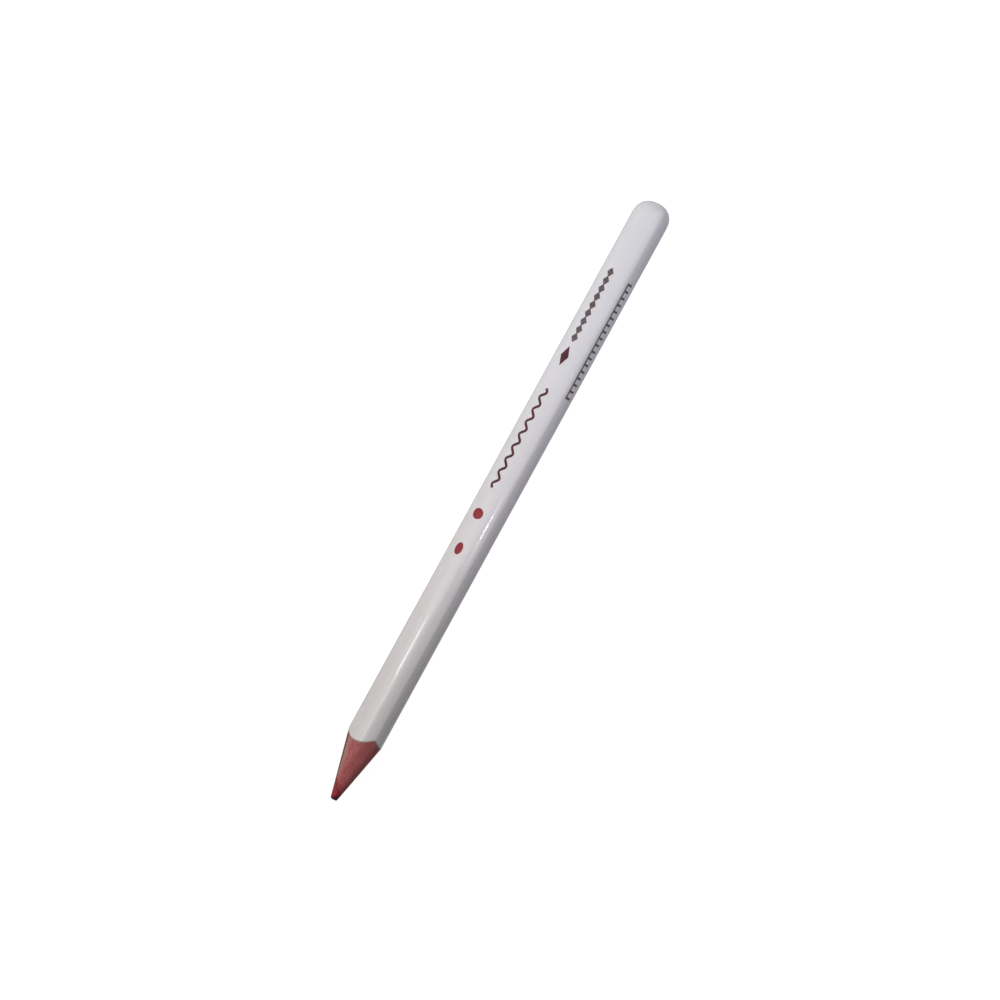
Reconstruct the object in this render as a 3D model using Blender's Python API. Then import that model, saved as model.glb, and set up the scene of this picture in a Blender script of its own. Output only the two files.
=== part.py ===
"""Jumbo coloured pencil with a soft three-sided barrel, sharpened, lying on one of its faces.

Metres, +Z up. The barrel runs along X with the point towards +X, and the origin lies under the
middle of the pencil on the surface that carries it. Everything is modelled about the barrel's own
axis and hangs from one empty that lifts it to its resting height.
"""

import math

import bmesh
import bpy

# The finished pencil, lacquer included: three bulging faces that meet in three rounded ridges
LENGTH = 0.175
FACE_DISTANCE = 0.0048
FACE_RADIUS = 0.0059
RIDGE_RADIUS = 0.0015
LEAD_DIAMETER = 0.0035

# The sharpened end: a hand sharpener never centres quite, so the cone leans a little sideways,
# and its point lies above and beside the barrel's axis
CONE_ANGLE = math.radians(25.8)
CONE_RISE = 0.00004
CONE_ASIDE = 0.00028
CONE_SWAY = math.radians(1.25)
TIP_DIAMETER = 0.0019
TIP_CROWN = 0.0003

# The rounded tail, a soft three-sided dome that starts a little wider than the barrel;
# a fullness of 2 is an ellipse, and more is blunter
CROWN_HEIGHT = 0.005
CROWN_OVER_BARREL = 0.00012
CROWN_FULLNESS = 2.3

# Films, and the gap that keeps two bonded solids apart
LACQUER = 0.00012
UNDERCOAT = 0.00008
TAIL_DIP = 0.00008
GLUE = 0.00006
FOIL = 0.00003
BOND_GAP = 0.00002

# Foil marks, placed by the distance of their middle from the tail
CHAIN_LENGTH = 0.0215
CHAIN_LINKS = 9
CHAIN_WIDTH = 0.002
CHAIN_NECK = 0.0003
CHAIN_FROM_TAIL = 0.0313
LOZENGE_LENGTH = 0.0056
LOZENGE_WIDTH = 0.0024
LOZENGE_FROM_TAIL = 0.0462
WAVE_LENGTH = 0.029
WAVE_PERIODS = 8
WAVE_HEIGHT = 0.002
WAVE_STROKE = 0.0007
WAVE_FROM_TAIL = 0.0703
DOT_DIAMETER = 0.003
DOT_FROM_TAIL = 0.0924
OVAL_LENGTH = 0.0034
OVAL_WIDTH = 0.0022
OVAL_FROM_TAIL = 0.1026
SCALE_TICKS = 18
SCALE_PITCH = 0.00195
SCALE_TICK_WIDTH = 0.0006
SCALE_TICK_HEIGHT = 0.0018
SCALE_LINE = 0.0004
SCALE_FROM_TAIL = 0.0389
SCALE_TURN = math.radians(16)

# Fineness of the facets; odd counts leave a flat facet along the middle of each face and ridge
FACE_STEPS = 13
RIDGE_STEPS = 5
TURNED_STEPS = 60
LEAD_STEPS = 36
CROWN_STEPS = 7
TIP_STEPS = 4
WAVE_STEPS = 10
OVAL_STEPS = 24
SMOOTH_UNDER = math.radians(30)

# Sizes that follow from the ones above
FACE_CENTRE = FACE_RADIUS - FACE_DISTANCE
RIDGE_CENTRE = (math.sqrt(4 * (FACE_RADIUS - RIDGE_RADIUS) ** 2 - 3 * FACE_CENTRE**2) - FACE_CENTRE) / 2
FACE_TURN = math.atan2(RIDGE_CENTRE * math.sqrt(3) / 2, RIDGE_CENTRE / 2 + FACE_CENTRE)
RIDGE_TURN = math.pi / 3 - FACE_TURN
REST_HEIGHT = FACE_RADIUS * math.cos(FACE_TURN / FACE_STEPS) - FACE_CENTRE
UNDERCOAT_DEPTH = LACQUER + BOND_GAP
WOOD_DEPTH = UNDERCOAT_DEPTH + UNDERCOAT + BOND_GAP
SLEEVE_INNER = LEAD_DIAMETER / 2 + BOND_GAP
SLEEVE_OUTER = SLEEVE_INNER + GLUE
GROOVE_RADIUS = SLEEVE_OUTER + BOND_GAP
SEAM_HALF = GLUE / 2 + BOND_GAP
TAIL_X = -LENGTH / 2
TIP_X = LENGTH / 2
STOCK_OVERRUN = CROWN_HEIGHT
BORE_OVERRUN = 2 * STOCK_OVERRUN
STOCK_RADIUS = 2 * (RIDGE_CENTRE + RIDGE_RADIUS)
SHARPENER_RADIUS = STOCK_RADIUS + LENGTH * math.tan(CONE_SWAY)
MERGE = 1e-7


def barrel_outline(depth):
    """The barrel's section, as (y, z) about its axis, this far under the finished surface."""
    points = []
    for ridge in (90, 210, 330):
        for middle, centre, radius, half_turn, steps in (
            (ridge, RIDGE_CENTRE, RIDGE_RADIUS, RIDGE_TURN, RIDGE_STEPS),
            (ridge + 60, -FACE_CENTRE, FACE_RADIUS, FACE_TURN, FACE_STEPS),
        ):
            heading = math.radians(middle)
            for step in range(steps):
                turn = heading + half_turn * (2 * step / steps - 1)
                points.append(
                    (
                        centre * math.cos(heading) + (radius - depth) * math.cos(turn),
                        centre * math.sin(heading) + (radius - depth) * math.sin(turn),
                    )
                )
    return points


def raise_face(bm, face, vector):
    grown = bmesh.ops.extrude_face_region(bm, geom=[face])
    moved = [item for item in grown["geom"] if isinstance(item, bmesh.types.BMVert)]
    bmesh.ops.translate(bm, verts=moved, vec=vector)
    bmesh.ops.recalc_face_normals(bm, faces=bm.faces)


def prism(depth, overrun):
    """Straight stock of the barrel's section, longer than the pencil by the overrun at each end."""
    bm = bmesh.new()
    start = TAIL_X - overrun
    face = bm.faces.new([bm.verts.new((start, y, z)) for y, z in barrel_outline(depth)])
    raise_face(bm, face, (LENGTH + 2 * overrun, 0, 0))
    return bm


def punch(outline):
    """The stamp that presses a mark, from the barrel's axis out past its surface."""
    bm = bmesh.new()
    face = bm.faces.new([bm.verts.new((x, y, 0)) for x, y in outline])
    raise_face(bm, face, (0, 0, STOCK_RADIUS))
    return bm


def turned(profile, steps):
    """A solid turned about the X axis from (x, radius) points that start and end on it."""
    bm = bmesh.new()
    verts = [bm.verts.new((x, radius, 0)) for x, radius in profile]
    edges = [bm.edges.new(pair) for pair in zip(verts, verts[1:])]
    bmesh.ops.spin(
        bm,
        geom=verts + edges,
        cent=(0, 0, 0),
        axis=(1, 0, 0),
        angle=2 * math.pi,
        steps=steps,
        use_merge=True,
    )
    bmesh.ops.remove_doubles(bm, verts=bm.verts, dist=MERGE)
    bmesh.ops.recalc_face_normals(bm, faces=bm.faces)
    return bm


def rod(radius, overrun):
    start = TAIL_X - overrun
    end = TIP_X + overrun
    return turned([(start, 0), (start, radius), (end, radius), (end, 0)], LEAD_STEPS)


def keep_side(bm, point, normal):
    """Cuts the solid by a plane, keeps the side that the normal points to and closes the cut."""
    cut = bmesh.ops.bisect_plane(
        bm,
        geom=bm.verts[:] + bm.edges[:] + bm.faces[:],
        plane_co=point,
        plane_no=normal,
        clear_inner=True,
    )
    edges = [item for item in cut["geom_cut"] if isinstance(item, bmesh.types.BMEdge)]
    bmesh.ops.edgeloop_fill(bm, edges=edges)
    bmesh.ops.recalc_face_normals(bm, faces=bm.faces)


def cone_profile():
    """The space inside the sharpener, open to the tail, with its blunt point at the origin."""
    slope = math.tan(CONE_ANGLE / 2)
    tip_radius = TIP_DIAMETER / 2
    shoulder = -TIP_CROWN
    stock_end = shoulder - (SHARPENER_RADIUS - tip_radius) / slope
    start = -LENGTH - BORE_OVERRUN
    profile = [(start, 0), (start, SHARPENER_RADIUS), (stock_end, SHARPENER_RADIUS)]
    for step in range(TIP_STEPS + 1):
        turn = math.pi / 2 * step / TIP_STEPS
        profile.append((shoulder + TIP_CROWN * math.sin(turn), tip_radius * math.cos(turn)))
    return profile


def crown_space(depth):
    """The barrel's own section with its rounded tail, this far under the dome's surface."""
    bm = bmesh.new()
    outline = barrel_outline(depth - CROWN_OVER_BARREL)
    face = bm.faces.new([bm.verts.new((TIP_X + BORE_OVERRUN, y, z)) for y, z in outline])
    middle = TAIL_X + CROWN_HEIGHT
    height = CROWN_HEIGHT - depth
    width = 1.0
    for step in range(CROWN_STEPS + 1):
        turn = math.pi / 2 * step / CROWN_STEPS
        rise = math.sin(turn) ** (2 / CROWN_FULLNESS)
        share = math.cos(turn) ** (2 / CROWN_FULLNESS)
        grown = bmesh.ops.extrude_face_region(bm, geom=[face])
        if step:
            bmesh.ops.delete(bm, geom=[face], context="FACES_ONLY")
        face = next(item for item in grown["geom"] if isinstance(item, bmesh.types.BMFace))
        ring = face.verts[:]
        along = middle - height * rise - ring[0].co.x
        bmesh.ops.translate(bm, verts=ring, vec=(along, 0, 0))
        if step == CROWN_STEPS:
            bmesh.ops.pointmerge(bm, verts=ring, merge_co=(middle - height, 0, 0))
            break
        bmesh.ops.scale(bm, verts=ring, vec=(1, share / width, share / width))
        width = share
    bmesh.ops.recalc_face_normals(bm, faces=bm.faces)
    return bm


def chain_outline():
    """A row of diamonds that hang together by narrow necks."""
    pitch = CHAIN_LENGTH / CHAIN_LINKS
    start = -CHAIN_LENGTH / 2
    lower = []
    for link in range(CHAIN_LINKS):
        lower.append((start + pitch * link, -CHAIN_NECK / 2))
        lower.append((start + pitch * (link + 0.5), -CHAIN_WIDTH / 2))
    lower.append((-start, -CHAIN_NECK / 2))
    return lower + [(x, -y) for x, y in reversed(lower)]


def lozenge_outline():
    half = LOZENGE_LENGTH / 2
    edge = LOZENGE_WIDTH / 2
    return [(-half, 0), (0, -edge), (half, 0), (0, edge)]


def wave_outline():
    """A stroke of even width along a sine line."""
    half_height = (WAVE_HEIGHT - WAVE_STROKE) / 2
    rate = 2 * math.pi * WAVE_PERIODS / WAVE_LENGTH
    near = []
    far = []
    for step in range(WAVE_PERIODS * WAVE_STEPS + 1):
        x = WAVE_LENGTH * (step / (WAVE_PERIODS * WAVE_STEPS) - 0.5)
        y = half_height * math.sin(rate * x)
        tilt = math.atan(half_height * rate * math.cos(rate * x))
        reach_x = WAVE_STROKE / 2 * math.sin(tilt)
        reach_y = WAVE_STROKE / 2 * math.cos(tilt)
        near.append((x + reach_x, y - reach_y))
        far.append((x - reach_x, y + reach_y))
    return near + far[::-1]


def oval_outline(length, width):
    turns = [2 * math.pi * step / OVAL_STEPS for step in range(OVAL_STEPS)]
    return [(length / 2 * math.cos(turn), width / 2 * math.sin(turn)) for turn in turns]


def scale_outline():
    """A measuring scale: one line that carries even ticks."""
    half_tick = SCALE_TICK_WIDTH / 2
    first = -SCALE_PITCH * (SCALE_TICKS - 1) / 2
    low = -SCALE_TICK_HEIGHT / 2
    line = low + SCALE_LINE
    points = [(first - half_tick, low), (-first + half_tick, low)]
    for tick in reversed(range(SCALE_TICKS)):
        x = first + SCALE_PITCH * tick
        points.append((x + half_tick, line))
        points.append((x + half_tick, -low))
        points.append((x - half_tick, -low))
        points.append((x - half_tick, line))
    return [points[0], points[1], *points[3:-1]]


def make_material(name, colour, roughness, metallic=0.0):
    material = bpy.data.materials.new(name)
    material.use_nodes = True
    shader = material.node_tree.nodes["Principled BSDF"]
    shader.inputs["Base Color"].default_value = (*colour, 1)
    shader.inputs["Roughness"].default_value = roughness
    shader.inputs["Metallic"].default_value = metallic
    return material


def make_object(name, bm, parent):
    mesh = bpy.data.meshes.new(name)
    bm.to_mesh(mesh)
    bm.free()
    made = bpy.data.objects.new(name, mesh)
    bpy.context.scene.collection.objects.link(made)
    made.parent = parent
    return made


def make_empty(name, parent=None):
    made = bpy.data.objects.new(name, None)
    bpy.context.scene.collection.objects.link(made)
    made.parent = parent
    return made


def make_cutter(name, bm, parent):
    made = make_object(name, bm, parent)
    made.hide_render = True
    made.display_type = "WIRE"
    return made


def make_part(name, bm, parent, material):
    made = make_object(name, bm, parent)
    made.data.materials.append(material)
    return made


def boolean(part, cutter, operation):
    modifier = part.modifiers.new(cutter.name, "BOOLEAN")
    modifier.object = cutter
    modifier.operation = operation
    modifier.solver = "EXACT"


for old in list(bpy.data.objects):
    bpy.data.objects.remove(old)

axis = make_empty("barrel_axis")
axis.location.z = REST_HEIGHT

sharpener = make_cutter("sharpener_space", turned(cone_profile(), TURNED_STEPS), axis)
sharpener.location = (TIP_X, CONE_ASIDE, CONE_RISE)
sharpener.rotation_euler = (math.pi / TURNED_STEPS, 0, CONE_SWAY)
crown = make_cutter("crown_space", crown_space(0), axis)
bare_crown = make_cutter("bare_crown_space", crown_space(TAIL_DIP), axis)
dip_seat = make_cutter("dip_seat", crown_space(TAIL_DIP - BOND_GAP), axis)
lead_bore = make_cutter("lead_bore", rod(SLEEVE_INNER, BORE_OVERRUN), axis)
groove = make_cutter("groove_space", rod(GROOVE_RADIUS, BORE_OVERRUN), axis)
undercoat_bore = make_cutter(
    "undercoat_bore", prism(UNDERCOAT_DEPTH + UNDERCOAT, BORE_OVERRUN), axis
)
lacquer_bore = make_cutter("lacquer_bore", prism(LACQUER, BORE_OVERRUN), axis)
foil_seat = make_cutter("foil_seat", prism(-BOND_GAP, BORE_OVERRUN), axis)
foil_top = make_cutter("foil_top", prism(-BOND_GAP - FOIL, BORE_OVERRUN), axis)

cedar = make_material("stained_wood", (0.31, 0.1, 0.095), 0.7)
cedar_dark = make_material("stained_wood_dark", (0.25, 0.078, 0.072), 0.72)
lead_red = make_material("red_lead", (0.19, 0.022, 0.035), 0.45)
glue_tan = make_material("wood_glue", (0.42, 0.26, 0.15), 0.5)
primer = make_material("chalk_undercoat", (0.7, 0.6, 0.56), 0.8)
lacquer_white = make_material("white_lacquer", (0.8, 0.78, 0.77), 0.22)
dip_white = make_material("white_dip", (0.82, 0.81, 0.82), 0.2)
foil_red = make_material("red_foil", (0.36, 0.025, 0.035), 0.35, 0.2)
foil_grey = make_material("grey_foil", (0.2, 0.14, 0.12), 0.35, 0.3)


def shape_ends(part):
    """Every piece of the coated stick is sharpened and rounded in one go."""
    boolean(part, sharpener, "INTERSECT")
    boolean(part, bare_crown, "INTERSECT")


upper = prism(WOOD_DEPTH, STOCK_OVERRUN)
keep_side(upper, (0, 0, SEAM_HALF), (0, 0, 1))
upper_slat = make_part("upper_slat", upper, axis, cedar)
boolean(upper_slat, groove, "DIFFERENCE")
shape_ends(upper_slat)

lower = prism(WOOD_DEPTH, STOCK_OVERRUN)
keep_side(lower, (0, 0, -SEAM_HALF), (0, 0, -1))
lower_slat = make_part("lower_slat", lower, axis, cedar_dark)
boolean(lower_slat, groove, "DIFFERENCE")
shape_ends(lower_slat)

for name, side in (("near_glue_line", -1), ("far_glue_line", 1)):
    film = prism(WOOD_DEPTH, STOCK_OVERRUN)
    keep_side(film, (0, 0, -GLUE / 2), (0, 0, 1))
    keep_side(film, (0, 0, GLUE / 2), (0, 0, -1))
    keep_side(film, (0, 0, 0), (0, side, 0))
    glue_line = make_part(name, film, axis, glue_tan)
    boolean(glue_line, groove, "DIFFERENCE")
    shape_ends(glue_line)

lead_core = make_part("lead_core", rod(LEAD_DIAMETER / 2, STOCK_OVERRUN), axis, lead_red)
shape_ends(lead_core)

glue_sleeve = make_part("lead_glue_sleeve", rod(SLEEVE_OUTER, STOCK_OVERRUN), axis, glue_tan)
boolean(glue_sleeve, lead_bore, "DIFFERENCE")
shape_ends(glue_sleeve)

undercoat = make_part("undercoat", prism(UNDERCOAT_DEPTH, STOCK_OVERRUN), axis, primer)
boolean(undercoat, undercoat_bore, "DIFFERENCE")
shape_ends(undercoat)

lacquer = make_part("white_lacquer", prism(0, STOCK_OVERRUN), axis, lacquer_white)
boolean(lacquer, lacquer_bore, "DIFFERENCE")
shape_ends(lacquer)

tail_dip = make_part("tail_dip", prism(0, STOCK_OVERRUN), axis, dip_white)
boolean(tail_dip, crown, "INTERSECT")
boolean(tail_dip, dip_seat, "DIFFERENCE")

printed_face = make_empty("printed_face", axis)
printed_face.rotation_euler.x = math.radians(60)
far_shoulder = make_empty("far_shoulder", axis)
far_shoulder.rotation_euler.x = -SCALE_TURN

for name, outline, seat, from_tail, foil in (
    ("diamond_chain", chain_outline(), printed_face, CHAIN_FROM_TAIL, foil_grey),
    ("lozenge", lozenge_outline(), printed_face, LOZENGE_FROM_TAIL, foil_red),
    ("wave", wave_outline(), printed_face, WAVE_FROM_TAIL, foil_red),
    ("dot", oval_outline(DOT_DIAMETER, DOT_DIAMETER), printed_face, DOT_FROM_TAIL, foil_red),
    ("oval", oval_outline(OVAL_LENGTH, OVAL_WIDTH), printed_face, OVAL_FROM_TAIL, foil_red),
    ("measuring_scale", scale_outline(), far_shoulder, SCALE_FROM_TAIL, foil_grey),
):
    mark = make_part(name, punch(outline), seat, foil)
    mark.location.x = TAIL_X + from_tail
    boolean(mark, foil_top, "INTERSECT")
    boolean(mark, foil_seat, "DIFFERENCE")

graph = bpy.context.evaluated_depsgraph_get()
cutters = [item for item in bpy.data.objects if item.hide_render]
parts = [item for item in bpy.data.objects if item.type == "MESH" and not item.hide_render]
for part in parts:
    shaped = bpy.data.meshes.new_from_object(part.evaluated_get(graph))
    shaped.name = part.name
    shaped.shade_smooth()
    shaped.set_sharp_from_angle(angle=SMOOTH_UNDER)
    part.modifiers.clear()
    part.data = shaped
for cutter in cutters:
    bpy.data.objects.remove(cutter)
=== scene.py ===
import math

import bmesh
import bpy
from mathutils import Matrix, Vector, noise


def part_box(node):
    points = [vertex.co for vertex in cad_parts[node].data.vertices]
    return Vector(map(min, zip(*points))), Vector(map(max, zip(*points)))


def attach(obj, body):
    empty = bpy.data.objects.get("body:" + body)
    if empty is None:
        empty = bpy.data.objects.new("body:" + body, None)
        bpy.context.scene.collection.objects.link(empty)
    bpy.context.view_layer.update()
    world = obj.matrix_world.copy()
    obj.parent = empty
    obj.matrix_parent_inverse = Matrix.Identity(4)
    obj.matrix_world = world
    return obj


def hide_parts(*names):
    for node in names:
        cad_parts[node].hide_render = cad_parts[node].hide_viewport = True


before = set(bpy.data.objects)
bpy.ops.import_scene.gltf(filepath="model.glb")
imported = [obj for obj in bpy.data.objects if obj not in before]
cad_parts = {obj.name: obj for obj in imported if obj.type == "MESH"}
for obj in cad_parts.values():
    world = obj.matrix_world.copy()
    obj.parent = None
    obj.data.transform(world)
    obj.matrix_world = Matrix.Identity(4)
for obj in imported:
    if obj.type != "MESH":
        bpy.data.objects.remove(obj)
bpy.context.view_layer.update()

# the stick as it left the sharpener; ends, height and lead come from the frame
stick = {
    "faceDistance": 0.0048,  # from the axis to the middle of each bulging face
    "faceRadius": 0.0059,
    "ridgeRadius": 0.0015,
    "coneAngle": math.radians(25.8),
    "coneRise": 0.00004,  # the sharpener ran a little off centre
    "coneAside": 0.00028,
    "coneSway": math.radians(1.25),  # and aslant, so the cone's base lies nearer the marked side
    "tipWidth": 0.0019,
    "tipCrown": 0.0003,
    "domeHeight": 0.005,
    "domeFullness": 2.3,  # 2 is an ellipse, more is blunter
    "chatter": 0.00007,  # unevenness that the blade leaves along X
    "chatterWaves": ((2.2, 300, 1.0), (9, 900, 0.5)),  # each round the cone, along it, and its share
    "bladeTries": 6,
    "ridgeSteps": 12,
    "faceSteps": 40,
    "creaseAngle": math.radians(28),
}
leadLow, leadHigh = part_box("lead_core")
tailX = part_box("tail_dip")[0].x
axisZ = (leadLow.z + leadHigh.z) / 2
faceRadius = stick["faceRadius"]
ridgeRadius = stick["ridgeRadius"]
faceCentre = faceRadius - stick["faceDistance"]
ridgeCentre = (math.sqrt(4 * (faceRadius - ridgeRadius) ** 2 - 3 * faceCentre**2) - faceCentre) / 2
faceTurn = math.atan2(ridgeCentre * math.sqrt(3) / 2, ridgeCentre / 2 + faceCentre)
ridgeTurn = math.pi / 3 - faceTurn
leadRadius = (leadHigh.y - leadLow.y) / 2
slope = math.tan(stick["coneAngle"] / 2)
shoulderX = leadHigh.x - stick["tipCrown"]
tipRadius = stick["tipWidth"] / 2
apexX = shoulderX + tipRadius / slope
coneZ = axisZ + stick["coneRise"]
domeX = tailX + stick["domeHeight"]
print(f"stick: axis {axisZ * 1000:.3f} mm up, ridges {(ridgeCentre + ridgeRadius) * 1000:.3f} mm out")


def outlineLoop(bm):
    # the barrel's outline as a closed loop of spun arcs, a ridge and a face in turn
    start = math.pi / 2 - ridgeTurn
    reach = Vector((0, math.cos(start), math.sin(start))) * ridgeRadius
    last = bm.verts.new(Vector((0, 0, axisZ + ridgeCentre)) + reach)
    for ridge in (90, 210, 330):
        for heading, away, turn, steps in (
            (math.radians(ridge), ridgeCentre, ridgeTurn, stick["ridgeSteps"]),
            (math.radians(ridge + 60), -faceCentre, faceTurn, stick["faceSteps"]),
        ):
            centre = (0, away * math.cos(heading), axisZ + away * math.sin(heading))
            arc = bmesh.ops.spin(
                bm, geom=[last], cent=centre, axis=(1, 0, 0), angle=2 * turn, steps=steps
            )
            last = arc["geom_last"][0]
    bmesh.ops.remove_doubles(bm, verts=bm.verts, dist=1e-6)
    return bm.edges[:]


def loopVerts(edges):
    return list({vert for edge in edges for vert in edge.verts})


def growLoop(bm, edges):
    grown = bmesh.ops.extrude_edge_only(bm, edges=edges)["geom"]
    verts = {item for item in grown if isinstance(item, bmesh.types.BMVert)}
    loop = [item for item in grown if isinstance(item, bmesh.types.BMEdge) and set(item.verts) <= verts]
    return list(verts), loop


def sectionAt(depth):
    # how far the barrel's outline lies from the axis, this deep under the finished surface
    third = 2 * math.pi / 3
    rounding = ridgeRadius - depth
    ridgeEnd = math.atan2(rounding * math.sin(ridgeTurn), ridgeCentre + rounding * math.cos(ridgeTurn))

    def reach(y, z):
        turn = abs((math.atan2(z - axisZ, y) - math.pi / 2 + third / 2) % third - third / 2)
        away, radius = ridgeCentre, rounding
        if turn > ridgeEnd:
            turn, away, radius = third / 2 - turn, -faceCentre, faceRadius - depth
        return away * math.cos(turn) + math.sqrt(radius**2 - (away * math.sin(turn)) ** 2)

    return reach


def roundAt(radius):
    return lambda y, z: radius


def coneAxisY(x):
    return stick["coneAside"] - (leadHigh.x - x) * math.tan(stick["coneSway"])


def coneAt(y, z):
    # where the sharpener's blade passed, along X, found by closing in on its slanting axis
    x = shoulderX
    for attempt in range(stick["bladeTries"]):
        away = math.hypot(y - coneAxisY(x), z - coneZ)
        x = apexX - away / slope
    turn = math.atan2(z - coneZ, y - coneAxisY(x))
    uneven = 0.0
    for around, outwards, share in stick["chatterWaves"]:
        spot = (around * math.cos(turn), around * math.sin(turn), outwards * away)
        uneven += share * noise.noise(spot)
    return x + stick["chatter"] * uneven


def bareTailAt(y, z):
    # the rounded tail under its dip
    full = stick["domeFullness"]
    share = min(1, math.hypot(y, z - axisZ) / sectionAt(dip["film"])(y, z))
    return domeX - (stick["domeHeight"] - dip["film"]) * (1 - share**full) ** (1 / full)


def setRing(verts, outer, inner, share, surface):
    # part of the way from the outer outline to the inner one, on the surface
    for vert in verts:
        y, z = vert.co.yz
        reach = outer(y, z) + share * (inner(y, z) - outer(y, z))
        out = Vector((0, y, z - axisZ)).normalized() * reach
        vert.co = (surface(out.y, out.z + axisZ), out.y, out.z + axisZ)


def stickLayer(outer, inner, coneRings, tailRings):
    # one coat or core of the stick between two outlines, sharpened in front and rounded behind
    bm = bmesh.new()
    first = outlineLoop(bm)
    setRing(loopVerts(first), outer, inner, 0, coneAt)
    creases = list(first)
    loop = first
    for step in range(1, coneRings + 1):
        verts, loop = growLoop(bm, loop)
        setRing(verts, outer, inner, step / coneRings, coneAt)
    creases += loop
    for step in range(tailRings + 1):
        verts, loop = growLoop(bm, loop)
        setRing(verts, outer, inner, 1 - step / tailRings, bareTailAt)
        if step == 0:
            creases += loop
    for edge in creases + loop:
        edge.smooth = False
    bmesh.ops.bridge_loops(bm, edges=first + loop)
    return bm


def keepSide(bm, point, normal):
    whole = bm.verts[:] + bm.edges[:] + bm.faces[:]
    cut = bmesh.ops.bisect_plane(bm, geom=whole, plane_co=point, plane_no=normal, clear_inner=True)
    edges = [item for item in cut["geom_cut"] if isinstance(item, bmesh.types.BMEdge)]
    bmesh.ops.edgeloop_fill(bm, edges=edges)


def finishPiece(name, bm, materials, slotName, *nodes):
    bmesh.ops.recalc_face_normals(bm, faces=bm.faces)
    for face in bm.faces:
        face.smooth = True
    for edge in bm.edges:
        if edge.calc_face_angle(0) > stick["creaseAngle"]:
            edge.smooth = False
    mesh = bpy.data.meshes.new(name)
    bm.to_mesh(mesh)
    bm.free()
    piece = bpy.data.objects.new(name, mesh)
    bpy.context.scene.collection.objects.link(piece)
    for material in materials:
        mesh.materials.append(material)
    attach(piece, "root")
    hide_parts(*nodes)
    print(f"{name}: {len(mesh.polygons)} faces for {', '.join(nodes)}")


def addNode(tree, kind, values=None, **settings):
    node = tree.nodes.new("ShaderNode" + kind)
    for name, value in settings.items():
        setattr(node, name, value)
    for name, value in (values or {}).items():
        node.inputs[name].default_value = value
    return node


def stretched(tree, position, scale, turn=0.0):
    # the position, squeezed along each axis, for patterns longer than wide
    node = addNode(tree, "Mapping", {"Scale": scale, "Rotation": (turn, 0, 0)})
    tree.links.new(position, node.inputs["Vector"])
    return node.outputs["Vector"]


def noiseOn(tree, position, scale, detail, roughness=0.5):
    node = addNode(tree, "TexNoise", {"Scale": scale, "Detail": detail, "Roughness": roughness})
    tree.links.new(position, node.inputs["Vector"])
    return node.outputs["Fac"]


def remap(tree, value, low, high, toLow=0.0, toHigh=1.0):
    node = addNode(
        tree,
        "MapRange",
        {"From Min": low, "From Max": high, "To Min": toLow, "To Max": toHigh},
        interpolation_type="SMOOTHSTEP",
    )
    tree.links.new(value, node.inputs["Value"])
    return node.outputs["Result"]


def calc(tree, operation, first, second):
    node = addNode(tree, "Math", operation=operation)
    for value, socket in zip((first, second), node.inputs):
        if isinstance(value, (int, float)):
            socket.default_value = value
        else:
            tree.links.new(value, socket)
    return node.outputs["Value"]


def blendColours(tree, share, first, second):
    node = addNode(tree, "Mix", data_type="RGBA")
    for value, socket in zip((first, second), (node.inputs[6], node.inputs[7])):
        if isinstance(value, tuple):
            socket.default_value = (*value, 1)
        else:
            tree.links.new(value, socket)
    tree.links.new(share, node.inputs["Factor"])
    return node.outputs[2]


def newGroup(name, inputs, outputs):
    tree = bpy.data.node_groups.new(name, "ShaderNodeTree")
    for socketName, kind, value in inputs:
        socket = tree.interface.new_socket(socketName, in_out="INPUT", socket_type=kind)
        if value is not None:
            socket.default_value = value
    for socketName in outputs:
        tree.interface.new_socket(socketName, in_out="OUTPUT", socket_type="NodeSocketFloat")
    return tree, tree.nodes.new("NodeGroupInput").outputs, tree.nodes.new("NodeGroupOutput").inputs


def useGroup(tree, group, position, values=None):
    node = tree.nodes.new("ShaderNodeGroup")
    node.node_tree = group
    tree.links.new(position, node.inputs["Position"])
    for name, value in (values or {}).items():
        node.inputs[name].default_value = value
    return node.outputs


def newMaterial(name, values):
    material = bpy.data.materials.new(name)
    material.use_nodes = True
    tree = material.node_tree
    shader = tree.nodes["Principled BSDF"]
    for socketName, value in values.items():
        shader.inputs[socketName].default_value = value
    position = tree.nodes.new("ShaderNodeTexCoord").outputs["Object"]
    return material, tree, shader.inputs, position


def addBump(tree, shaderInputs, height, distance):
    node = addNode(tree, "Bump", {"Distance": distance})
    tree.links.new(height, node.inputs["Height"])
    tree.links.new(node.outputs["Normal"], shaderInputs["Normal"])


# effects that several finishes share: scales are per metre, and a range is where a pattern starts
# and where it is full
effects = {
    "bladeScale": 2400,
    "nickRange": (0.6, 0.74),
    "fibreScale": 1900,
    "fibreRange": (0.3, 0.7),
    "fibreShare": 0.6,
    "ringScale": 150.0,
    "ringBend": 3.0,
    "ringShare": 0.4,
    "poreScale": 7000,
    "poreRange": (0.6, 0.72),
    "smudgeScale": 260,
    "smudgeRange": (0.42, 0.75),
    "speckScale": 700.0,
    "speckRarity": 420,
    "speckSize": 2.0,  # more is smaller
    "speckFull": 0.75,
    "scratchScale": 5200,
    "scratchRange": (0.63, 0.7),
    "scratchTurn": 0.4,
    "waveScale": 420,
    "peelScale": 1500,
    "peelShare": 0.12,
    "cloudScale": 120,
    "cutSpacing": 1600.0,
    "cutRange": (0.1, 0.5),
    "cutRelief": 0.00002,
}

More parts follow.
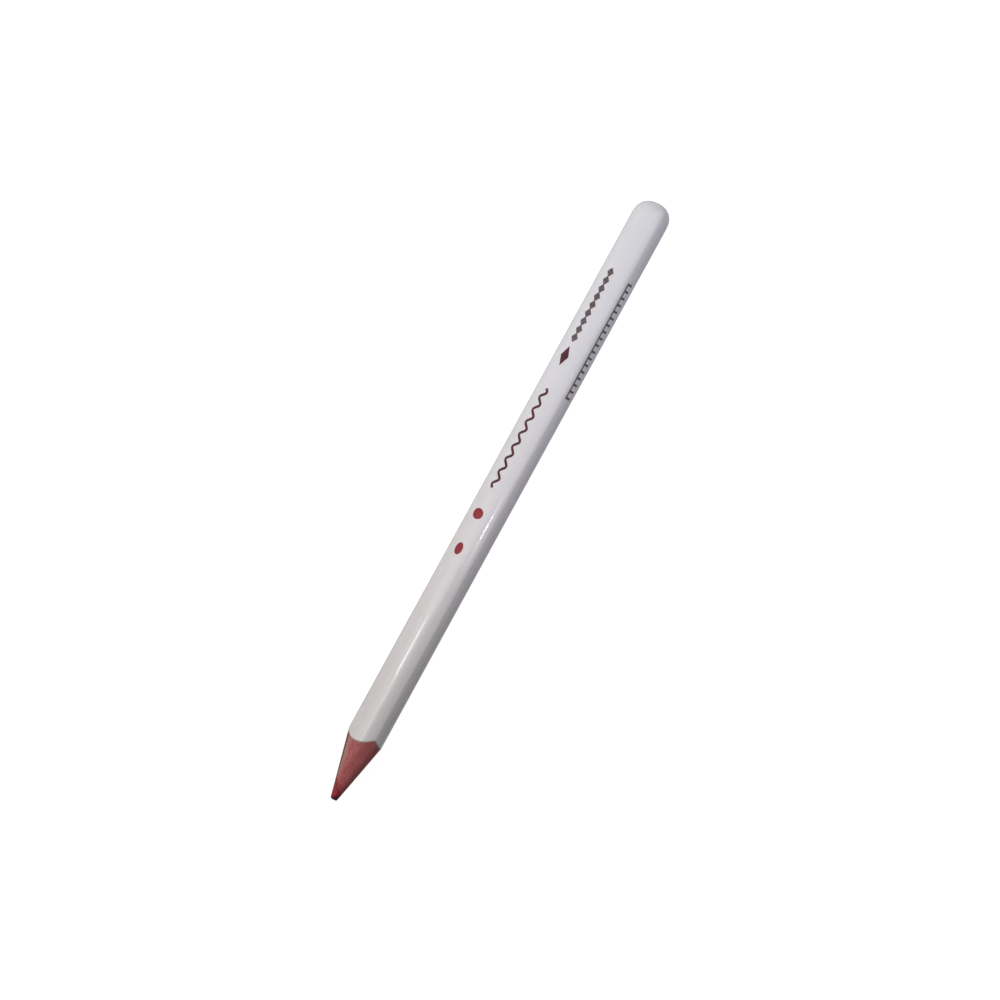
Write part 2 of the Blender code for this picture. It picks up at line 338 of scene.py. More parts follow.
bladeMarks, given, made = newGroup(
    "bladeMarks",
    [("Position", "NodeSocketVector", None), ("Spacing", "NodeSocketFloat", 1100.0)],
    ["Lines", "Nicks"],
)
torn = stretched(bladeMarks, given["Position"], (1, 0.25, 0.25))
rough = noiseOn(bladeMarks, torn, effects["bladeScale"], 3, 0.6)
ripple = addNode(bladeMarks, "TexNoise", {"Detail": 2.0})  # turning lines round the cone
bladeMarks.links.new(stretched(bladeMarks, given["Position"], (1, 0.12, 0.12)), ripple.inputs["Vector"])
bladeMarks.links.new(given["Spacing"], ripple.inputs["Scale"])
bladeMarks.links.new(calc(bladeMarks, "MULTIPLY", ripple.outputs["Fac"], rough), made["Lines"])
bladeMarks.links.new(remap(bladeMarks, rough, *effects["nickRange"]), made["Nicks"])

woodFibre, given, made = newGroup(
    "woodFibre",
    [("Position", "NodeSocketVector", None), ("Turn", "NodeSocketFloat", 0.0)],
    ["Grain", "Pores", "Height"],
)
drawn = stretched(woodFibre, given["Position"], (0.05, 1, 1))
fibres = noiseOn(woodFibre, drawn, effects["fibreScale"], 4, 0.6)
strands = remap(woodFibre, fibres, *effects["fibreRange"])
waviness = {"Scale": effects["ringScale"], "Distortion": effects["ringBend"]}
waviness.update({"Detail": 2.0, "Detail Scale": 1.1})
rings = addNode(woodFibre, "TexWave", waviness, bands_direction="DIAGONAL")
spin = addNode(woodFibre, "VectorRotate", rotation_type="X_AXIS")
woodFibre.links.new(given["Position"], spin.inputs["Vector"])
woodFibre.links.new(given["Turn"], spin.inputs["Angle"])
woodFibre.links.new(stretched(woodFibre, spin.outputs["Vector"], (0.12, 1, 1)), rings.inputs["Vector"])
grain = calc(
    woodFibre,
    "ADD",
    calc(woodFibre, "MULTIPLY", strands, effects["fibreShare"]),
    calc(woodFibre, "MULTIPLY", rings.outputs["Fac"], effects["ringShare"]),
)
slits = stretched(woodFibre, given["Position"], (0.1, 1, 1))
pores = remap(woodFibre, noiseOn(woodFibre, slits, effects["poreScale"], 1), *effects["poreRange"])
woodFibre.links.new(grain, made["Grain"])
woodFibre.links.new(pores, made["Pores"])
woodFibre.links.new(calc(woodFibre, "SUBTRACT", fibres, pores), made["Height"])

handling, given, made = newGroup(
    "handling",
    [("Position", "NodeSocketVector", None), ("Reach", "NodeSocketFloat", 0.6)],
    ["Smudge", "Specks", "Scratches"],
)
wiped = stretched(handling, given["Position"], (0.3, 1, 1))
smudge = noiseOn(handling, wiped, effects["smudgeScale"], 3, 0.6)
handling.links.new(remap(handling, smudge, *effects["smudgeRange"]), made["Smudge"])
specks = addNode(handling, "TexVoronoi", {"Scale": effects["speckScale"], "Randomness": 1.0})
handling.links.new(given["Position"], specks.inputs["Vector"])
rare = noiseOn(handling, given["Position"], effects["speckRarity"], 1)
apart = calc(handling, "MULTIPLY", specks.outputs["Distance"], effects["speckSize"])
near = calc(handling, "SUBTRACT", rare, apart)
full = {"From Max": effects["speckFull"]}
speckAt = addNode(handling, "MapRange", full, interpolation_type="SMOOTHSTEP")
handling.links.new(near, speckAt.inputs["Value"])
handling.links.new(given["Reach"], speckAt.inputs["From Min"])
handling.links.new(speckAt.outputs["Result"], made["Specks"])
scraped = stretched(handling, given["Position"], (0.06, 1, 1), effects["scratchTurn"])
hairs = noiseOn(handling, scraped, effects["scratchScale"], 2)
handling.links.new(remap(handling, hairs, *effects["scratchRange"]), made["Scratches"])

gloss, given, made = newGroup("gloss", [("Position", "NodeSocketVector", None)], ["Waviness", "Cloud"])
flowed = stretched(gloss, given["Position"], (0.18, 1, 1))
waves = noiseOn(gloss, flowed, effects["waveScale"], 2)
peel = noiseOn(gloss, given["Position"], effects["peelScale"], 1)
ripple = calc(gloss, "MULTIPLY", peel, effects["peelShare"])
gloss.links.new(calc(gloss, "ADD", waves, ripple), made["Waviness"])
banked = stretched(gloss, given["Position"], (0.4, 1, 1))
gloss.links.new(noiseOn(gloss, banked, effects["cloudScale"], 3), made["Cloud"])
print("effects: blade marks, wood fibre, handling, gloss")

# white lacquer over the barrel

lacquer = {
    "film": 0.00003,
    "warm": (0.80, 0.765, 0.75),  # towards the point
    "cool": (0.80, 0.79, 0.788),  # towards the tail
    "dirt": (0.50, 0.45, 0.42),
    "warmth": (-0.055, 0.015),  # along the barrel, from cool to warm
    "cloudiness": 0.08,
    "smudges": 0.05,  # shares of dirt in the colour
    "specks": 0.35,
    "speckReach": 0.62,
    "cutEdge": (0.78, 0.69, 0.67),
    "cutShade": (0.66, 0.54, 0.51),
    "cutRoughness": 0.5,
    "roughness": 0.17,
    "smudgeDulls": 0.12,
    "scratchDulls": 0.06,
    "coat": 0.45,
    "coatRoughness": 0.05,
    "waviness": 0.00004,
    "edgeRound": 0.000015,
    "edgeSlope": 0.05,
}
dip = {"film": 0.00008, "steps": 22, "white": (0.80, 0.792, 0.762), "roughness": 0.22}


def glossPaint(name, first, second, settings):
    coat = {"Coat Weight": lacquer["coat"], "Coat Roughness": lacquer["coatRoughness"]}
    material, tree, shader, position = newMaterial(name, coat)
    skin = useGroup(tree, gloss, position)
    marks = useGroup(tree, handling, position, {"Reach": lacquer["speckReach"]})
    along = addNode(tree, "SeparateXYZ")
    tree.links.new(position, along.inputs["Vector"])
    cloud = calc(tree, "MULTIPLY", calc(tree, "SUBTRACT", skin["Cloud"], 0.5), lacquer["cloudiness"])
    drift = calc(tree, "ADD", along.outputs["X"], cloud)
    colour = blendColours(tree, remap(tree, drift, *lacquer["warmth"]), second, first)
    grime = calc(
        tree,
        "ADD",
        calc(tree, "MULTIPLY", marks["Smudge"], lacquer["smudges"]),
        calc(tree, "MULTIPLY", marks["Specks"], lacquer["specks"]),
    )
    colour = blendColours(tree, grime, colour, lacquer["dirt"])
    tree.links.new(colour, shader["Base Color"])
    dull = calc(tree, "MULTIPLY", marks["Smudge"], lacquer["smudgeDulls"])
    scraped = calc(tree, "MULTIPLY", marks["Scratches"], lacquer["scratchDulls"])
    scuffed = calc(tree, "ADD", dull, scraped)
    tree.links.new(calc(tree, "ADD", scuffed, settings["roughness"]), shader["Roughness"])
    addBump(tree, shader, skin["Waviness"], lacquer["waviness"])
    return material


def cutCoat(name, colour, shade, roughness):
    # a coat where the blade went through it
    material, tree, shader, position = newMaterial(name, {"Roughness": roughness})
    marks = useGroup(tree, bladeMarks, position, {"Spacing": effects["cutSpacing"]})
    lines = remap(tree, marks["Lines"], *effects["cutRange"])
    tree.links.new(blendColours(tree, lines, shade, colour), shader["Base Color"])
    addBump(tree, shader, marks["Lines"], effects["cutRelief"])
    return material


lacquerWhite = glossPaint("lacquerWhite", lacquer["warm"], lacquer["cool"], lacquer)
dipWhite = glossPaint("dipWhite", dip["white"], dip["white"], dip)
lacquerCut = cutCoat("lacquerCut", lacquer["cutEdge"], lacquer["cutShade"], lacquer["cutRoughness"])

bm = stickLayer(sectionAt(0), sectionAt(lacquer["film"]), 1, 1)
bmesh.ops.recalc_face_normals(bm, faces=bm.faces)
for face in bm.faces:
    face.material_index = 1 if face.normal.x > lacquer["edgeSlope"] else 0
skin = sectionAt(lacquer["film"] / 2)
lip = [
    edge
    for edge in bm.edges
    if {face.material_index for face in edge.link_faces} == {0, 1}
    and math.hypot(edge.verts[0].co.y, edge.verts[0].co.z - axisZ) > skin(*edge.verts[0].co.yz)
]
bmesh.ops.bevel(
    bm, geom=lip, offset=lacquer["edgeRound"], affect="EDGES", segments=2, profile=0.5, material=-1
)
finishPiece("lacquerSkin", bm, [lacquerWhite, lacquerCut], "white_lacquer", "white_lacquer")

# rounded tail, dipped in the same white

bm = bmesh.new()
rims = [outlineLoop(bm)]
setRing(loopVerts(rims[0]), sectionAt(0), sectionAt(0), 0, lambda y, z: domeX)
verts, rim = growLoop(bm, rims[0])
rims.append(rim)
setRing(verts, sectionAt(dip["film"]), sectionAt(0), 0, lambda y, z: domeX)
toAxis = Matrix.Translation((0, 0, -axisZ))
for depth, rim in zip((0, dip["film"]), rims):
    height = stick["domeHeight"] - depth
    width = 1.0
    for step in range(1, dip["steps"] + 1):
        lean = math.pi / 2 * step / dip["steps"]
        rise = math.sin(lean) ** (2 / stick["domeFullness"])
        share = math.cos(lean) ** (2 / stick["domeFullness"])
        verts, rim = growLoop(bm, rim)
        bmesh.ops.translate(bm, verts=verts, vec=(domeX - height * rise - verts[0].co.x, 0, 0))
        if step == dip["steps"]:
            bmesh.ops.pointmerge(bm, verts=verts, merge_co=(domeX - height, 0, axisZ))
        else:
            bmesh.ops.scale(bm, verts=verts, vec=(1, share / width, share / width), space=toAxis)
            width = share
finishPiece("tailCap", bm, [dipWhite], "white_dip", "tail_dip")

# filler coat under the lacquer

filler = {
    "film": 0.00009,
    "colour": (0.50, 0.37, 0.31),
    "shade": (0.36, 0.24, 0.19),
    "roughness": 0.8,
}
fillerCut = cutCoat("fillerCut", filler["colour"], filler["shade"], filler["roughness"])
woodDepth = lacquer["film"] + filler["film"]
bm = stickLayer(sectionAt(lacquer["film"]), sectionAt(woodDepth), 1, 1)
finishPiece("fillerCoat", bm, [fillerCut], "chalk_undercoat", "undercoat")

# two stained slats, glued along the lead

slats = {
    "glue": 0.00005,
    "coneRings": 36,
    "tailRings": 10,
    "upperPale": (0.60, 0.185, 0.18),
    "upperDark": (0.45, 0.11, 0.112),
    "upperTurn": 0.5,  # of the growth rings
    # painted shade: the lower slat's colours are darker, for the shade on the side that faces the floor;
    # its grain is its own
    "lowerShadedPale": (0.26, 0.13, 0.11),
    "lowerShadedDark": (0.17, 0.075, 0.065),
    "lowerTurn": 2.1,
    "shine": 0.3,
    "paintedHighlight": (0.53, 0.29, 0.25),  # painted highlight: a pale streak beside the near seam, where the cut wood catches the light
    "highlightRise": (0.0, 0.1),  # where it starts and is full, height over the seam by width
    "highlightFall": (0.54, 0.3),  # where it ends and is full
    "highlightRagged": 0.3,
    "highlightNearest": 0.0002,  # least width, so that the ratio stays finite
    "highlightShare": 0.75,
    "pore": (0.16, 0.04, 0.038),
    "poreShare": 0.55,
    "nickShare": 0.25,
    "roughness": (0.62, 0.8),
    "relief": 0.00004,
    "bladeRelief": 0.8,
    "glueColour": (0.40, 0.11, 0.10),
    "glueShade": (0.30, 0.07, 0.07),
    "glueRoughness": 0.45,
    "leadDust": (0.38, 0.04, 0.06),
    "dustRange": (-0.004, 0.005),  # along the pencil, from where the lead comes out
    "dustShare": 0.6,
    "dustSmear": 0.006,
    "stain": (0.37, 0.026, 0.042),  # lead that the blade drew over the wood
    "stainShade": (0.29, 0.017, 0.03),
    "slant": 0.95,  # of the ragged line where the red ends, seen along the facing side
    "slantHeading": math.radians(28),
    "slantFrom": 0.00025,
    "slantRagged": 0.0014,
    "slantSoft": 0.0003,
    "stainShare": 0.9,
}
borderX = apexX - leadRadius / slope


def redEnds(tree, along, ragged):
    # from 0 on the wood's side of the slanting line to 1 on the lead's, with uneven edges
    acrossY = calc(tree, "MULTIPLY", along.outputs["Y"], math.cos(slats["slantHeading"]))
    height = calc(tree, "SUBTRACT", along.outputs["Z"], axisZ)
    across = calc(tree, "ADD", acrossY, calc(tree, "MULTIPLY", height, math.sin(slats["slantHeading"])))
    slanted = calc(tree, "MULTIPLY", across, slats["slant"])
    straight = calc(tree, "SUBTRACT", along.outputs["X"], slanted)
    uneven = calc(tree, "MULTIPLY", calc(tree, "SUBTRACT", ragged, 0.5), slats["slantRagged"])
    edge = borderX + slats["slantFrom"]
    soft = slats["slantSoft"]
    return remap(tree, calc(tree, "ADD", straight, uneven), edge - soft, edge + soft)


def woodMaterial(name, pale, dark, turn, withHighlight):
    material, tree, shader, position = newMaterial(name, {"Specular IOR Level": slats["shine"]})
    fibre = useGroup(tree, woodFibre, position, {"Turn": turn})
    blade = useGroup(tree, bladeMarks, position)
    colour = blendColours(tree, fibre["Grain"], pale, dark)
    along = addNode(tree, "SeparateXYZ")
    tree.links.new(position, along.inputs["Vector"])
    # painted highlight: a pale streak on the upper slat beside the near seam
    if withHighlight:
        climb = calc(
            tree,
            "DIVIDE",
            calc(tree, "SUBTRACT", along.outputs["Z"], axisZ),
            calc(tree, "MAXIMUM", calc(tree, "MULTIPLY", along.outputs["Y"], -1.0), slats["highlightNearest"]),
        )
        uneven = calc(tree, "MULTIPLY", calc(tree, "SUBTRACT", fibre["Grain"], 0.5), slats["highlightRagged"])
        ragged = calc(tree, "ADD", climb, uneven)
        highlight = calc(
            tree,
            "MULTIPLY",
            remap(tree, ragged, *slats["highlightRise"]),
            remap(tree, ragged, *slats["highlightFall"]),
        )
        highlight = calc(tree, "MULTIPLY", highlight, slats["highlightShare"])
        colour = blendColours(tree, highlight, colour, slats["paintedHighlight"])
    pores = calc(tree, "MULTIPLY", fibre["Pores"], slats["poreShare"])
    colour = blendColours(tree, pores, colour, slats["pore"])
    nicks = calc(tree, "MULTIPLY", blade["Nicks"], slats["nickShare"])
    colour = blendColours(tree, nicks, colour, pale)
    smear = calc(tree, "MULTIPLY", blade["Lines"], slats["dustSmear"])
    dustFrom, dustTo = (borderX + away for away in slats["dustRange"])
    smeared = calc(tree, "ADD", along.outputs["X"], smear)
    dust = remap(tree, smeared, dustFrom, dustTo, 0.0, slats["dustShare"])
    colour = blendColours(tree, dust, colour, slats["leadDust"])
    stain = calc(tree, "MULTIPLY", redEnds(tree, along, fibre["Grain"]), slats["stainShare"])
    drawn = blendColours(tree, blade["Nicks"], slats["stain"], slats["stainShade"])
    colour = blendColours(tree, stain, colour, drawn)
    tree.links.new(colour, shader["Base Color"])
    tree.links.new(remap(tree, fibre["Grain"], 0.0, 1.0, *slats["roughness"]), shader["Roughness"])
    furrows = calc(tree, "MULTIPLY", blade["Lines"], slats["bladeRelief"])
    addBump(tree, shader, calc(tree, "ADD", fibre["Height"], furrows), slats["relief"])
    return material


upperWood = woodMaterial(
    "upperWood", slats["upperPale"], slats["upperDark"], slats["upperTurn"], True
)
# painted shade: the lower slat takes the darker colours
lowerWoodShaded = woodMaterial(
    "lowerWoodShaded", slats["lowerShadedPale"], slats["lowerShadedDark"], slats["lowerTurn"], False
)
glueBrown = cutCoat("glueBrown", slats["glueColour"], slats["glueShade"], slats["glueRoughness"])

grooveRadius = leadRadius + slats["glue"]
stock = stickLayer(sectionAt(woodDepth), roundAt(grooveRadius), slats["coneRings"], slats["tailRings"])
for name, node, side, material, slotName in (
    ("upperSlat", "upper_slat", 1, upperWood, "stained_wood"),
    ("lowerSlat", "lower_slat", -1, lowerWoodShaded, "stained_wood_dark"),
):
    bm = stock.copy()
    keepSide(bm, (0, 0, axisZ + side * slats["glue"] / 2), (0, 0, side))
    finishPiece(name, bm, [material], slotName, node)
for name, node, side in (("nearGlue", "near_glue_line", -1), ("farGlue", "far_glue_line", 1)):
    bm = stock.copy()
    keepSide(bm, (0, 0, axisZ - slats["glue"] / 2), (0, 0, 1))
    keepSide(bm, (0, 0, axisZ + slats["glue"] / 2), (0, 0, -1))
    keepSide(bm, (0, 0, axisZ), (0, side, 0))
    finishPiece(name, bm, [glueBrown], "wood_glue", node)
stock.free()
bm = stickLayer(roundAt(grooveRadius), roundAt(leadRadius), 1, 1)
leadGlueRed = cutCoat("leadGlueRed", slats["leadDust"], slats["stainShade"], slats["glueRoughness"])
finishPiece("leadGlue", bm, [leadGlueRed], "wood_glue", "lead_glue_sleeve")

# red lead, with its blunt worn point

lead = {
    "coneRings": 44,
    "crownSteps": 6,
    "red": (0.38, 0.026, 0.042),
    "shade": (0.29, 0.017, 0.030),
    "bloom": (0.44, 0.075, 0.09),  # waxy haze
    # the dark point is partly wear and partly painted shade
    "wornAndShaded": (0.05, 0.007, 0.011),
    "wornShadedLength": 0.0019,
    "wornShadedEnd": 0.0004,
    "shadeSlant": 0.8,  # painted shade: the dark reaches further up on the far side, which is in shade
    "wornShadedRagged": 0.002,
    "woodDust": (0.40, 0.10, 0.10),
    "woodDustShare": 0.85,
    "bloomShare": 0.6,
    "waxScale": 1100,
    "waxRange": (0.35, 0.65),
    "waxRelief": 0.5,
    "lineSpacing": 1500.0,
    "lineDulls": 0.3,
    "relief": 0.00006,
    "roughness": 0.38,
    "shine": 0.45,
}
leadRed, tree, shader, position = newMaterial("leadRed", {"Specular IOR Level": lead["shine"]})
blade = useGroup(tree, bladeMarks, position, {"Spacing": lead["lineSpacing"]})
wax = noiseOn(tree, position, lead["waxScale"], 4, 0.65)
colour = blendColours(tree, remap(tree, wax, *lead["waxRange"]), lead["shade"], lead["red"])
haze = calc(tree, "MULTIPLY", blade["Nicks"], lead["bloomShare"])
colour = blendColours(tree, haze, colour, lead["bloom"])
along = addNode(tree, "SeparateXYZ")
tree.links.new(position, along.inputs["Vector"])
# painted shade: the dark of the worn point slants up the far side, where the point is in shade
slanted = calc(tree, "MULTIPLY", along.outputs["Y"], lead["shadeSlant"])
wearAndShade = calc(tree, "ADD", along.outputs["X"], slanted)
uneven = calc(tree, "MULTIPLY", calc(tree, "SUBTRACT", wax, 0.5), lead["wornShadedRagged"])
wearAndShade = calc(tree, "ADD", wearAndShade, uneven)
wornAndShaded = remap(tree, wearAndShade, leadHigh.x - lead["wornShadedLength"], leadHigh.x - lead["wornShadedEnd"])
colour = blendColours(tree, wornAndShaded, colour, lead["wornAndShaded"])
bare = calc(tree, "SUBTRACT", 1.0, redEnds(tree, along, wax))
dusty = calc(tree, "MULTIPLY", bare, lead["woodDustShare"])
colour = blendColours(tree, dusty, colour, lead["woodDust"])
tree.links.new(colour, shader["Base Color"])
dull = calc(tree, "MULTIPLY", blade["Lines"], lead["lineDulls"])
tree.links.new(calc(tree, "ADD", dull, lead["roughness"]), shader["Roughness"])
lumps = calc(tree, "MULTIPLY", wax, lead["waxRelief"])
addBump(tree, shader, calc(tree, "ADD", blade["Lines"], lumps), lead["relief"])

bm = bmesh.new()
border = outlineLoop(bm)
setRing(loopVerts(border), roundAt(leadRadius), roundAt(leadRadius), 0, coneAt)
verts, back = growLoop(bm, border)
setRing(verts, roundAt(leadRadius), roundAt(leadRadius), 0, bareTailAt)
verts = growLoop(bm, back)[0]
bmesh.ops.pointmerge(bm, verts=verts, merge_co=(tailX + dip["film"], 0, axisZ))
ring = border
tipY = coneAxisY(shoulderX)
toTip = Matrix.Translation((0, -tipY, -coneZ))
for left in range(lead["coneRings"], 0, -1):
    verts, ring = growLoop(bm, ring)
    for vert in verts:
        out = Vector((0, vert.co.y - tipY, vert.co.z - coneZ))
        out *= 1 + (tipRadius / out.length - 1) / left
        y, z = out.y + tipY, out.z + coneZ
        vert.co = (coneAt(y, z), y, z)
width = 1.0
for step in range(1, lead["crownSteps"] + 1):
    lean = math.pi / 2 * step / lead["crownSteps"]
    rise = stick["tipCrown"] * (math.sin(lean) - math.sin(lean - math.pi / 2 / lead["crownSteps"]))
    verts, ring = growLoop(bm, ring)
    bmesh.ops.translate(bm, verts=verts, vec=(rise, 0, 0))
    if step == lead["crownSteps"]:
        bmesh.ops.pointmerge(bm, verts=verts, merge_co=(leadHigh.x, tipY, coneZ))
    else:
        share = math.cos(lean) / width
        bmesh.ops.scale(bm, verts=verts, vec=(1, share, share), space=toTip)
        width = math.cos(lean)
for edge in border + back:
    edge.smooth = False
finishPiece("redLead", bm, [leadRed], "red_lead", "lead_core")

# foil marks, pressed on with heat and a little worn

foil = {
    "red": (0.27, 0.015, 0.024),
    "redSheen": (0.35, 0.03, 0.042),
    "maroon": (0.06, 0.010, 0.018),
    "maroonSheen": (0.13, 0.026, 0.036),
    "grey": (0.105, 0.074, 0.071),
    "greySheen": (0.18, 0.135, 0.13),
    "bare": (0.76, 0.72, 0.71),  # lacquer that shows through
    "bareShare": 0.8,
    "bareRange": (0.7, 0.78),
    "speckReach": 0.42,
    "mottleScale": 2600,
    "sheenRange": (0.35, 0.7),
    "roughness": (0.28, 0.48),
    "metallic": 0.15,
    "relief": 0.00002,
}


def foilMaterial(name, colour, sheen):
    material, tree, shader, position = newMaterial(name, {"Metallic": foil["metallic"]})
    marks = useGroup(tree, handling, position, {"Reach": foil["speckReach"]})
    mottle = noiseOn(tree, position, foil["mottleScale"], 3, 0.6)
    tint = blendColours(tree, remap(tree, mottle, *foil["sheenRange"]), colour, sheen)
    missing = calc(tree, "MAXIMUM", marks["Specks"], remap(tree, mottle, *foil["bareRange"]))
    tint = blendColours(tree, calc(tree, "MULTIPLY", missing, foil["bareShare"]), tint, foil["bare"])
    tree.links.new(tint, shader["Base Color"])
    tree.links.new(remap(tree, mottle, 0.3, 0.7, *foil["roughness"]), shader["Roughness"])
    addBump(tree, shader, mottle, foil["relief"])
    return material


foilRed = foilMaterial("foilRed", foil["red"], foil["redSheen"])
foilGrey = foilMaterial("foilGrey", foil["grey"], foil["greySheen"])
foilMaroon = foilMaterial("foilMaroon", foil["maroon"], foil["maroonSheen"])
for node, material in (
    ("diamond_chain", foilGrey),
    ("lozenge", foilMaroon),
    ("wave", foilMaroon),
    ("dot", foilRed),
    ("oval", foilRed),
):
    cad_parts[node].data.materials[0] = material

# the measuring scale lies beside the ridge, so it is bent to the barrel
ruler = {
    "ticks": 18,
    "pitch": 0.00195,
    "tickWidth": 0.0006,
    "tickHeight": 0.0018,
    "line": 0.0004,
    "turn": math.radians(16),  # from the top of the ridge towards the far side
    "lift": 0.00001,
    "film": 0.00002,
    "rows": 6,
}
rulerLow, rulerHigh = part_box("measuring_scale")
bm = bmesh.new()
columns = 2 * ruler["ticks"] - 1
bmesh.ops.create_grid(bm, x_segments=columns, y_segments=ruler["rows"], size=0.5)
gaps = []
for face in bm.faces:
    middle = face.calc_center_median()
    column = int((middle.x + 0.5) * columns)
    row = int((middle.y + 0.5) * ruler["rows"])
    if column % 2 and row:
        gaps.append(face)
bmesh.ops.delete(bm, geom=gaps, context="FACES")
for vert in bm.verts:
    column = round((vert.co.x + 0.5) * columns)
    row = round((vert.co.y + 0.5) * ruler["rows"])
    tick = column // 2 - (ruler["ticks"] - 1) / 2
    upright = ruler["tickHeight"] - ruler["line"]
    vert.co.x = tick * ruler["pitch"] + (column % 2 - 0.5) * ruler["tickWidth"]
    vert.co.y = -ruler["tickHeight"] / 2
    if row:
        vert.co.y += ruler["line"] + upright * (row - 1) / (ruler["rows"] - 1)
grown = bmesh.ops.extrude_face_region(bm, geom=bm.faces[:])["geom"]
top = [item for item in grown if isinstance(item, bmesh.types.BMVert)]
bmesh.ops.translate(bm, verts=top, vec=(0, 0, ruler["film"]))
barrel = sectionAt(0)
for vert in bm.verts:
    around = ruler["turn"] + vert.co.y / stick["faceDistance"]
    side, rise = math.sin(around), math.cos(around)
    reach = barrel(side, axisZ + rise) + ruler["lift"] + vert.co.z
    along = vert.co.x + (rulerLow.x + rulerHigh.x) / 2
    vert.co = (along, reach * side, axisZ + reach * rise)
finishPiece("measuringScale", bm, [foilGrey], "grey_foil", "measuring_scale")
print("foil: five flat marks and the bent scale")

# floor, light and camera

studio = {
    "floorSize": 6.0,
    "floorDrop": 0.00002,
    "floorWhite": (0.80, 0.80, 0.80),
    "floorSpeck": (0.784, 0.784, 0.784),
    "floorGrain": 900,
    "floorGlow": (0.85, 1.0),  # white that the camera sees besides the lit floor, near and far
    "glowReach": (0.2, 0.6),
    "glossGlow": 0.2,  # share of it in reflections
    "world": 0.085,
    "worldTint": (0.98, 0.98, 1.0, 1),
}


def whiteSeen(tree, rays):
    # how much of the white a ray sees: all of it from the camera, a share in reflections
    direct = calc(tree, "MAXIMUM", rays.outputs["Is Camera Ray"], rays.outputs["Is Transmission Ray"])
    mirrored = calc(tree, "MULTIPLY", rays.outputs["Is Glossy Ray"], studio["glossGlow"])
    return calc(tree, "MAXIMUM", direct, mirrored)


bm = bmesh.new()
bmesh.ops.create_grid(bm, x_segments=1, y_segments=1, size=studio["floorSize"] / 2)
bmesh.ops.translate(bm, verts=bm.verts, vec=(0, 0, -studio["floorDrop"]))
floorMesh = bpy.data.meshes.new("floor")
bm.to_mesh(floorMesh)
bm.free()
floor = bpy.data.objects.new("floor", floorMesh)
bpy.context.scene.collection.objects.link(floor)

paper, tree, shader, position = newMaterial("paper", {"Roughness": 0.9, "Specular IOR Level": 0.1})
speckle = remap(tree, noiseOn(tree, position, studio["floorGrain"], 3), 0.3, 0.7)
flecked = blendColours(tree, speckle, studio["floorWhite"], studio["floorSpeck"])
tree.links.new(flecked, shader["Base Color"])
rays = addNode(tree, "LightPath")
reach = addNode(tree, "VectorMath", operation="LENGTH")
tree.links.new(position, reach.inputs[0])
white = remap(tree, reach.outputs["Value"], *studio["glowReach"], *studio["floorGlow"])
glow = addNode(tree, "Emission")
tree.links.new(calc(tree, "MULTIPLY", whiteSeen(tree, rays), white), glow.inputs["Strength"])
lit = addNode(tree, "AddShader")
tree.links.new(tree.nodes["Principled BSDF"].outputs["BSDF"], lit.inputs[0])
tree.links.new(glow.outputs["Emission"], lit.inputs[1])
below = addNode(tree, "MixShader")  # from under the floor nothing hides the pencil
backs = addNode(tree, "NewGeometry").outputs["Backfacing"]
tree.links.new(calc(tree, "MULTIPLY", backs, rays.outputs["Is Camera Ray"]), below.inputs["Fac"])
tree.links.new(lit.outputs["Shader"], below.inputs[1])
tree.links.new(addNode(tree, "BsdfTransparent").outputs["BSDF"], below.inputs[2])
tree.links.new(below.outputs["Shader"], tree.nodes["Material Output"].inputs["Surface"])
floorMesh.materials.append(paper)

world = bpy.data.worlds.new("room")
bpy.context.scene.world = world
world.use_nodes = True
tree = world.node_tree
air = tree.nodes["Background"]
air.inputs["Color"].default_value = studio["worldTint"]
air.inputs["Strength"].default_value = studio["world"]
backdrop = addNode(tree, "Background", {"Color": (1, 1, 1, 1), "Strength": 1.0})
rays = addNode(tree, "LightPath")
mixed = addNode(tree, "MixShader")
tree.links.new(whiteSeen(tree, rays), mixed.inputs["Fac"])
tree.links.new(air.outputs["Background"], mixed.inputs[1])
tree.links.new(backdrop.outputs["Background"], mixed.inputs[2])
tree.links.new(mixed.outputs["Shader"], tree.nodes["World Output"].inputs["Surface"])

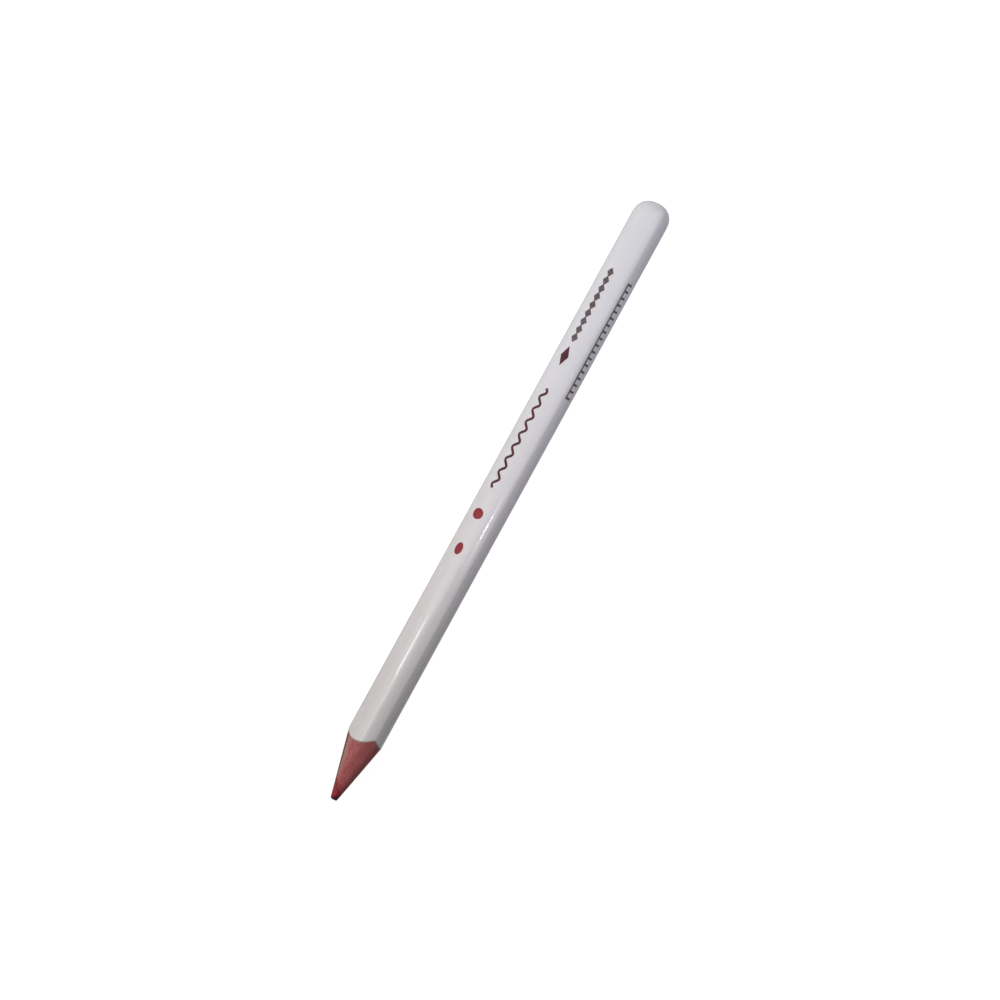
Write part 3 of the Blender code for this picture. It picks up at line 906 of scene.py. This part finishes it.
# each lamp faces a point on the pencil: how far along, and from there the turn towards the tail,
# the rise over the horizon on the marked side, and the distance
lamps = {
    "window": {
        "along": 0.2,
        "turn": 0,
        "rise": 18,
        "away": 0.5,
        "size": (0.4, 0.57),
        "power": 0.8,
        "tint": (1, 0.99, 0.985),
    },
    "fill": {
        "along": -0.14,
        "turn": 0,
        "rise": 6,
        "away": 0.55,
        "size": (0.88, 0.63),
        "power": 2.1,
        "tint": (1, 0.985, 0.94),
        "mirrored": False,  # lights the pencil but doesn't show in the gloss
    },
    "sky": {
        "along": -0.14,
        "turn": 0,
        "rise": 65,
        "away": 0.08,
        "size": (0.32, 0.065),
        "power": 0.055,
        "tint": (0.96, 0.955, 1.14),
    },
    "doorway": {
        "along": -0.085,
        "turn": 105,
        "rise": 25,
        "away": 0.4,
        "size": (0.25, 0.25),
        "power": 0.16,
        "tint": (0.92, 0.91, 1.25),
    },
    "wall": {
        "along": -0.15,
        "turn": 180,
        "rise": 22,
        "away": 0.6,
        "size": (0.8, 0.4),
        "power": 0.33,
        "tint": (1, 1, 1),
    },
    "streak": {
        "along": 0.054,
        "turn": 0,
        "rise": 28.5,
        "away": 0.25,
        "size": (0.019, 0.045),
        "power": 0.021,
        "tint": (1, 1, 1),
    },
    "streakEnd": {
        "along": 0.08,
        "turn": 0,
        "rise": 33,
        "away": 0.25,
        "size": (0.04, 0.005),
        "power": 0.0085,
        "tint": (1, 1, 1),
    },
    "streakStart": {
        "along": 0.0325,
        "turn": 0,
        "rise": 47,
        "away": 0.25,
        "size": (0.0145, 0.012),
        "power": 0.0025,
        "tint": (1, 1, 1),
    },
    "glint": {
        "along": 0.0082,
        "turn": 0,
        "rise": 73,
        "away": 0.15,
        "size": (0.0085, 0.012),
        "power": 0.009,
        "tint": (0.97, 0.98, 1.05),
    },
}
for name, lamp in lamps.items():
    light = bpy.data.lights.new(name, "AREA")
    light.shape = "RECTANGLE"
    light.size, light.size_y = lamp["size"]
    light.energy = lamp["power"]
    light.color = lamp["tint"]
    turn, rise = math.radians(lamp["turn"]), math.radians(lamp["rise"])
    level = math.cos(rise)
    outwards = Vector((-math.sin(turn) * level, -math.cos(turn) * level, math.sin(rise)))
    holder = bpy.data.objects.new(name, light)
    holder.visible_glossy = lamp.get("mirrored", True)
    holder.location = Vector((lamp["along"], 0, axisZ)) + outwards * lamp["away"]
    holder.rotation_euler = outwards.to_track_quat("Z", "Y").to_euler()
    bpy.context.scene.collection.objects.link(holder)

view = {
    "tilt": math.radians(28),  # from straight above, towards the marked face
    "lean": math.radians(28.77),  # of the pencil in the picture
    "width": 0.2577,  # across the picture at the pencil
    "lens": 150.0,
    "sensor": 36.0,
    "aimRight": 0.00108,
    "aimUp": 0.00038,
}
towards = Vector((0, -math.sin(view["tilt"]), math.cos(view["tilt"])))
toTail = Vector((-1, 0, 0))
across = Vector((0, math.cos(view["tilt"]), math.sin(view["tilt"])))
right = toTail * math.sin(view["lean"]) + across * math.cos(view["lean"])
up = toTail * math.cos(view["lean"]) - across * math.sin(view["lean"])
camera = bpy.data.objects.new("camera", bpy.data.cameras.new("camera"))
camera.data.lens = view["lens"]
camera.data.sensor_width = view["sensor"]
distance = view["width"] * view["lens"] / view["sensor"]
place = Vector((0, 0, axisZ)) + right * view["aimRight"] + up * view["aimUp"] + towards * distance
turn = Matrix((right, up, towards)).transposed().to_4x4()
camera.matrix_world = Matrix.Translation(place) @ turn
bpy.context.scene.collection.objects.link(camera)
bpy.context.scene.camera = camera
bpy.context.scene.view_settings.view_transform = "Standard"
print(f"studio: floor, world, {len(lamps)} lamps and the camera")
